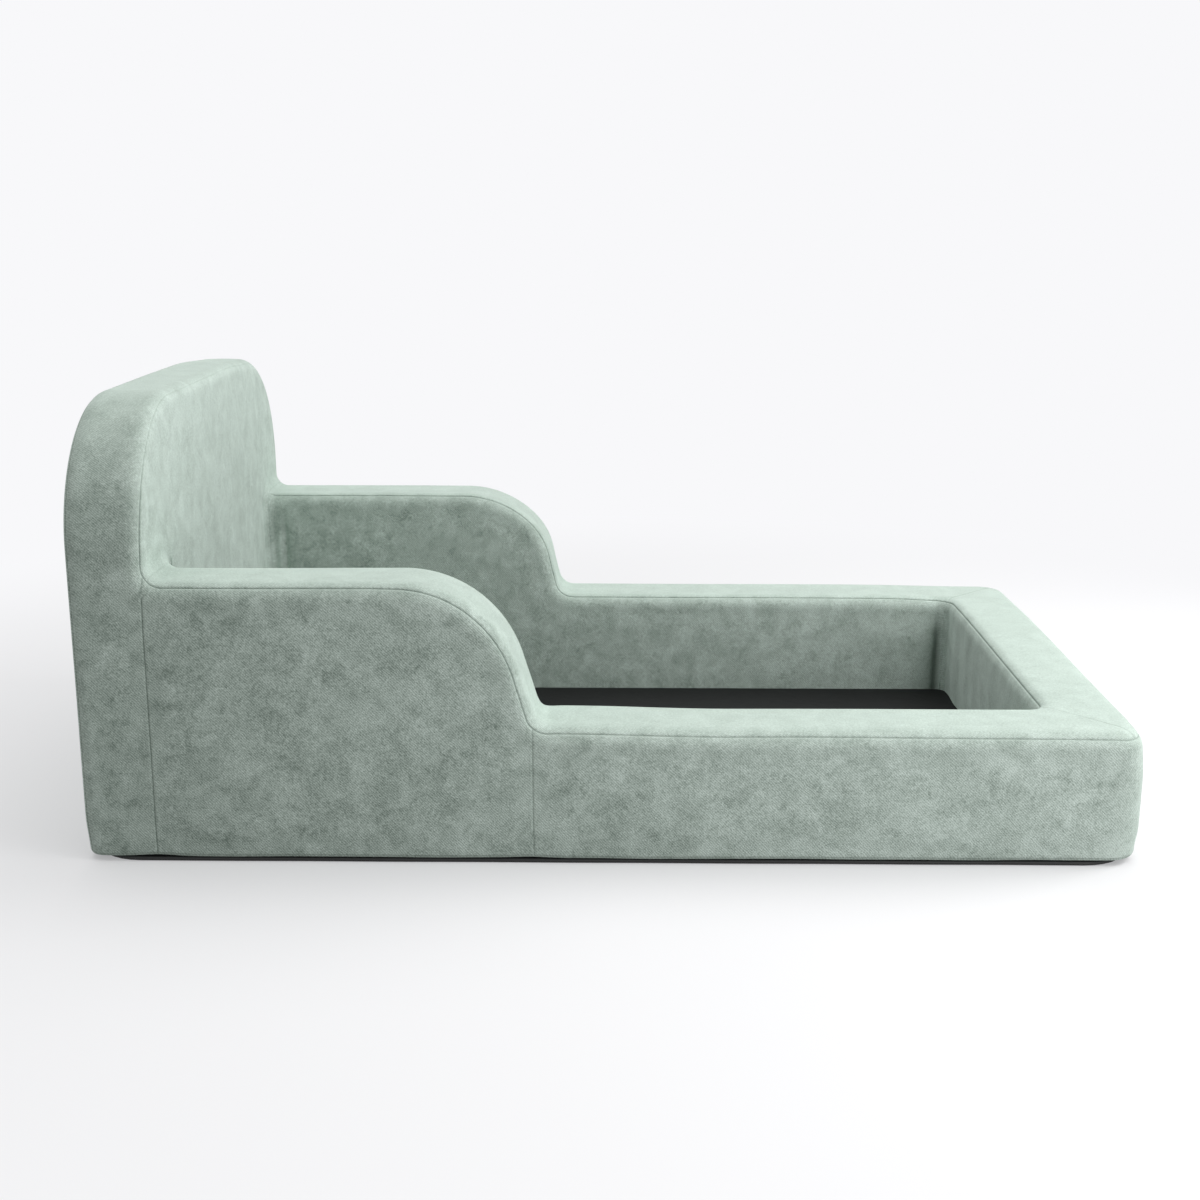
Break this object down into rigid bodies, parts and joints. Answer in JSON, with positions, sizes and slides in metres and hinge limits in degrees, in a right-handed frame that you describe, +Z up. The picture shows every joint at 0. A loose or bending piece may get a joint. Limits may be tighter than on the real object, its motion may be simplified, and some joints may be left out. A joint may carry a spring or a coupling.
{
  "type": "daybed",
  "caption": "Low upholstered daybed for a child: foam headboard, side rails that drop from head to foot and a foot rail, in one sewn velvet cover round an open mattress well.",
  "frame": {"origin": "On the floor under the middle of the whole bed.", "axes": "+X runs from the headboard to the foot, +Y from the left rail to the right rail as seen from the foot, +Z up."},
  "size_m": [1.57, 0.99, 0.681],
  "materials": {
    "velvet": "matte",
    "foam": "matte",
    "black_cloth": "matte",
    "hook_and_loop": "matte",
    "zip_tape": "matte",
    "zip_coil": "satin",
    "zip_metal": "satin"
  },
  "bodies": {
    "bed": {"headboard_front_panel": "velvet", "headboard_back_panel": "velvet", "headboard_boxing": "velvet", "left_outer_high_panel": "velvet", "left_outer_low_panel": "velvet", "left_top_strip": "velvet", "left_inner_panel": "velvet", "right_outer_high_panel": "velvet", "right_outer_low_panel": "velvet", "right_top_strip": "velvet", "right_inner_panel": "velvet", "foot_outer_panel": "velvet", "foot_top_strip": "velvet", "foot_inner_panel": "velvet", "headboard_foam": "foam", "left_rail_foam": "foam", "right_rail_foam": "foam", "foot_rail_foam": "foam", "base_pad_foam": "foam", "base_cloth": "black_cloth", "base_pad_sleeve": "black_cloth", "hook_patches": "hook_and_loop", "loop_patches": "hook_and_loop", "zip_upper_tape": "zip_tape", "zip_lower_tape": "zip_tape", "zip_coils": "zip_coil", "zip_stops": "zip_metal"},
    "slider": {"zip_slider": "zip_metal"},
    "pull": {"zip_pull": "zip_metal"}
  },
  "joints": [
    {"name": "zip_run", "type": "slide", "parent": "bed", "child": "slider", "axis": [0, -1, 0], "range_m": [0, 0.848]},
    {"name": "pull_turn", "type": "hinge", "parent": "slider", "child": "pull", "pos_m": [-0.7831, 0.424, 0.046], "axis": [0, 0, -1], "range_deg": [0, 180]}
  ]
}
